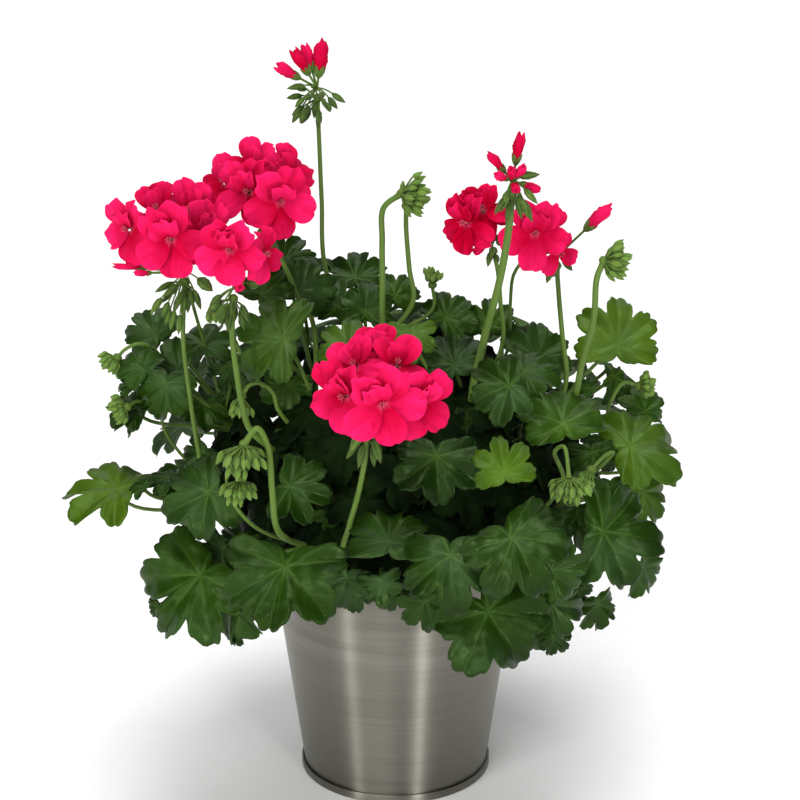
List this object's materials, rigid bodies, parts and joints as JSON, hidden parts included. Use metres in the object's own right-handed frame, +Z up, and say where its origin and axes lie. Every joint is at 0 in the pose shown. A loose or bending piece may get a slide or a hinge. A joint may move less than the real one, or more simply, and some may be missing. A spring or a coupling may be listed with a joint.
{
  "type": "potted ivy geranium",
  "caption": "Bushy ivy geranium with lobed green leaves, red flower heads and green bud umbels, growing in a tapered zinc pot.",
  "frame": {"origin": "middle of the pot's flat underside", "axes": "+Z up along the pot's axis; the side of the plant that the picture shows faces -Y; +X is to the right seen from there"},
  "size_m": [0.3978, 0.3658, 0.5],
  "materials": {
    "pot_metal": "satin",
    "soil": "matte",
    "foliage": "satin",
    "petals": "satin"
  },
  "bodies": {
    "root": {"pot_wall": "pot_metal", "pot_base": "pot_metal", "potting_soil": "soil", "leafy_stem_front_left": "foliage", "leafy_stem_front": "foliage", "leafy_stem_front_right": "foliage", "leafy_stem_right": "foliage", "leafy_stem_front_middle": "foliage", "leafy_stem_centre_left": "foliage", "leafy_stem_centre": "foliage", "leafy_stem_centre_right": "foliage", "leafy_stem_upper_right": "foliage", "leafy_stem_left": "foliage", "leafy_stem_upper_left": "foliage", "leafy_stem_back_right": "foliage", "leafy_stem_back": "foliage", "leafy_stem_back_left": "foliage", "flower_head_left": "petals", "flower_head_upper_left": "petals", "flower_head_low_left": "petals", "flower_head_tall": "petals", "flower_head_front": "petals", "flower_head_right_front": "petals", "flower_head_right_dark": "petals", "flower_head_right": "petals"}
  },
  "joints": []
}
